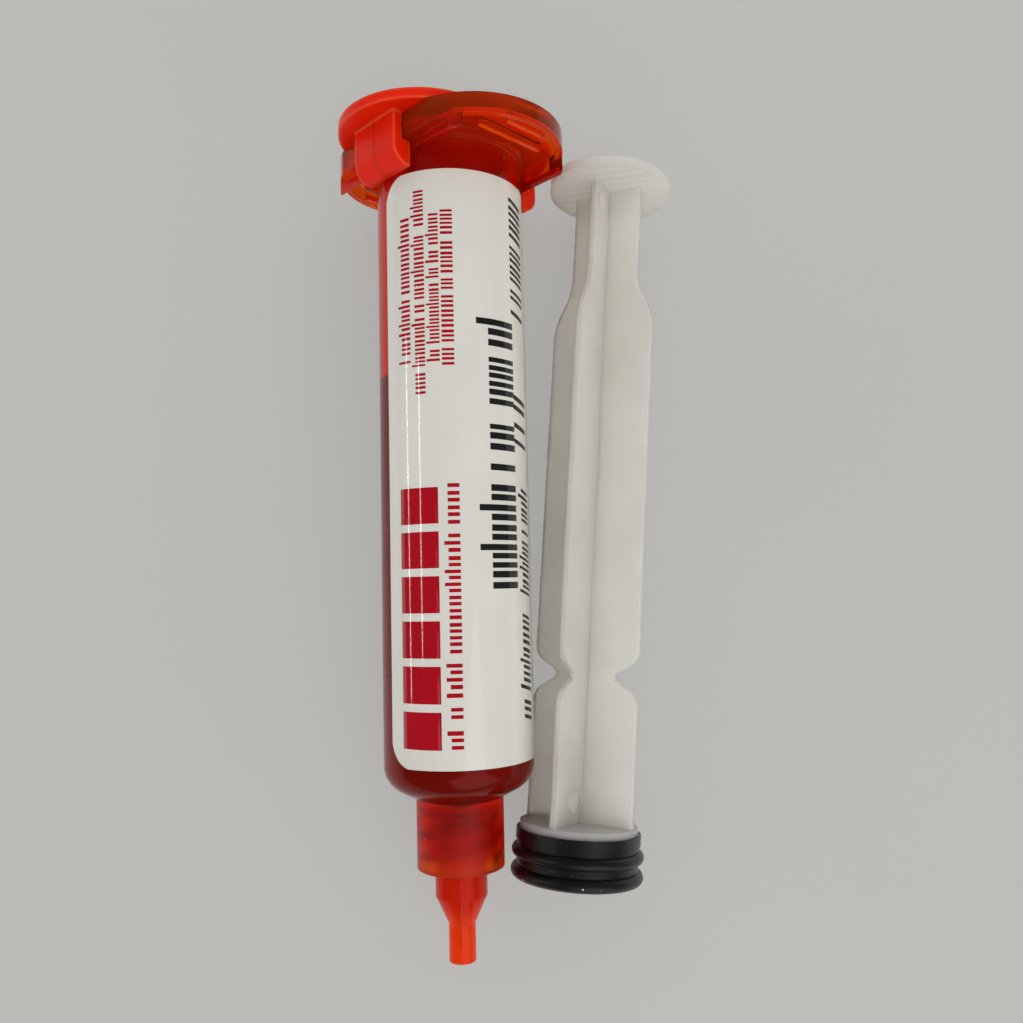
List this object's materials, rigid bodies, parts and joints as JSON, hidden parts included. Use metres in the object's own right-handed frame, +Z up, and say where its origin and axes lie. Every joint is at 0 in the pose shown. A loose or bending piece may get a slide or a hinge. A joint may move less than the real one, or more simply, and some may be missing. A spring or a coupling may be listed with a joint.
{
  "type": "flux syringe",
  "caption": "Capped Luer-lock dispensing syringe barrel of flux on its side, with a label, a winged finger flange and its hand plunger alongside.",
  "frame": {"origin": "centre of the footprint of the whole set as it lies, on the table plane", "axes": "+Y along the barrel from its outlet to its finger flange, +X towards the plunger that lies beside it, +Z up"},
  "size_m": [0.0444, 0.1038, 0.0297],
  "materials": {
    "amber_plastic": "glossy, translucent deep red-brown",
    "label_film": "satin off-white film",
    "orange_plastic": "glossy orange-red",
    "orange_clear_plastic": "glossy, translucent orange-red",
    "flux_paste": "wet brown paste",
    "natural_plastic": "satin, milky natural plastic",
    "black_rubber": "soft sheen",
    "crimson_ink": "printed on the label",
    "black_ink": "printed on the label"
  },
  "bodies": {
    "barrel": {"barrel": "amber_plastic", "label": "label_film", "flux_charge": "flux_paste"},
    "end_cap": {"end_cap": "orange_plastic"},
    "tip_cap": {"tip_cap": "orange_clear_plastic"},
    "plunger": {"plunger_rod": "natural_plastic", "stopper": "black_rubber"}
  },
  "joints": [
    {"name": "end_cap_slide", "type": "slide", "parent": "barrel", "child": "end_cap", "axis": [0.6947, -0.0528, 0.7174], "range_m": [0, 0.027]},
    {"name": "tip_cap_slide", "type": "slide", "parent": "barrel", "child": "tip_cap", "axis": [0, -0.9973, -0.0734], "range_m": [0, 0.012]},
    {"name": "plunger_slide", "type": "slide", "parent": "barrel", "child": "plunger", "axis": [0, -1, 0], "range_m": [0, 0.0723]}
  ]
}
